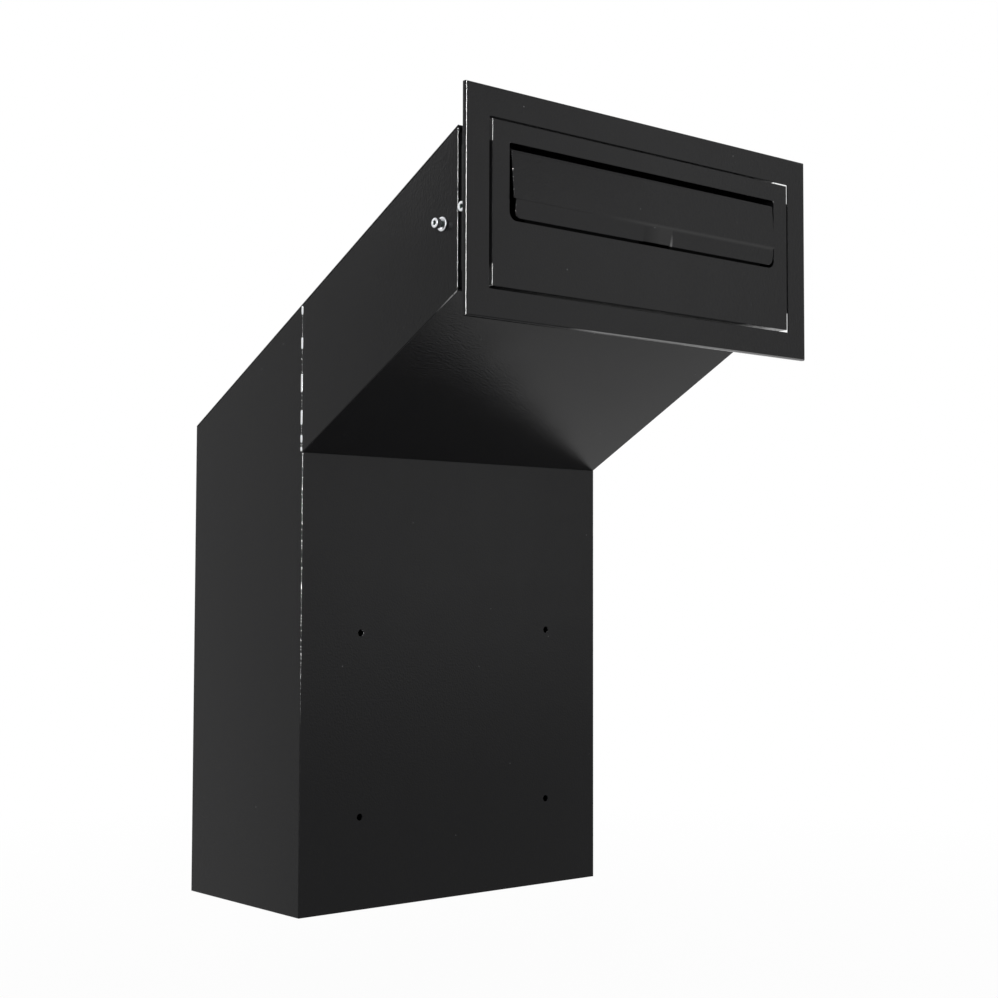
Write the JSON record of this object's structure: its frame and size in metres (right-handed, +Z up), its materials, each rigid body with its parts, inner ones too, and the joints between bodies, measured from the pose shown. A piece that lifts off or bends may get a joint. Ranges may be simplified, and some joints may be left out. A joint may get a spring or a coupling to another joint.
{
  "type": "through-wall letter box",
  "caption": "Sheet-steel letter box fixed through a wall: front trim with a hinged flap, sloping chute with a telescoping sleeve, and a box in the room with a lockable door.",
  "frame": {"origin": "middle of the four wall holes, on the face of the box that lies against the room side of the wall", "axes": "-Y out to the street, +Y into the room, +X to the right seen from the street, +Z up"},
  "size_m": [0.34, 0.4022, 0.5762],
  "materials": {
    "black_powder": "satin black powder coat with fine orange peel on sheet steel",
    "zinc": "bright zinc-plated steel",
    "nickel": "nickel-plated die casting and brass"
  },
  "bodies": {
    "body": {"body_shell": "black_powder", "chute_shell": "black_powder", "roof_panel": "black_powder", "rear_frame": "black_powder", "hinge_lugs": "black_powder", "hinge_pins": "zinc", "clamp_nuts": "zinc", "clamp_screws": "zinc"},
    "front_unit": {"sleeve": "black_powder", "slot_panel": "black_powder", "rod_brackets": "black_powder", "flap_rod": "zinc", "flap_stop": "black_powder", "trim_frame": "black_powder", "trim_standoffs": "zinc", "trim_screws": "zinc"},
    "flap": {"flap": "black_powder"},
    "door": {"door_panel": "black_powder", "lock_housing": "nickel", "lock_nut": "zinc"},
    "lock_core": {"lock_plug": "nickel", "lock_cam": "zinc", "cam_screw": "zinc"},
    "key": {"key": "nickel"}
  },
  "joints": [
    {"name": "sleeve_slide", "type": "slide", "parent": "body", "child": "front_unit", "axis": [0, -1, 0], "range_m": [0, 0.05]},
    {"name": "flap_hinge", "type": "hinge", "parent": "front_unit", "child": "flap", "pos_m": [0, -0.213, 0.39534], "axis": [-1, 0, 0], "range_deg": [0, 75]},
    {"name": "door_hinge", "type": "hinge", "parent": "body", "child": "door", "pos_m": [0.141, 0.151, 0], "axis": [0, 0, -1], "range_deg": [0, 110]},
    {"name": "lock_turn", "type": "hinge", "parent": "door", "child": "lock_core", "pos_m": [-0.112, 0.15, 0.04819], "axis": [0, 1, 0], "range_deg": [0, 90]},
    {"name": "key_pull", "type": "slide", "parent": "lock_core", "child": "key", "axis": [0, 1, 0], "range_m": [0, 0.022]}
  ]
}
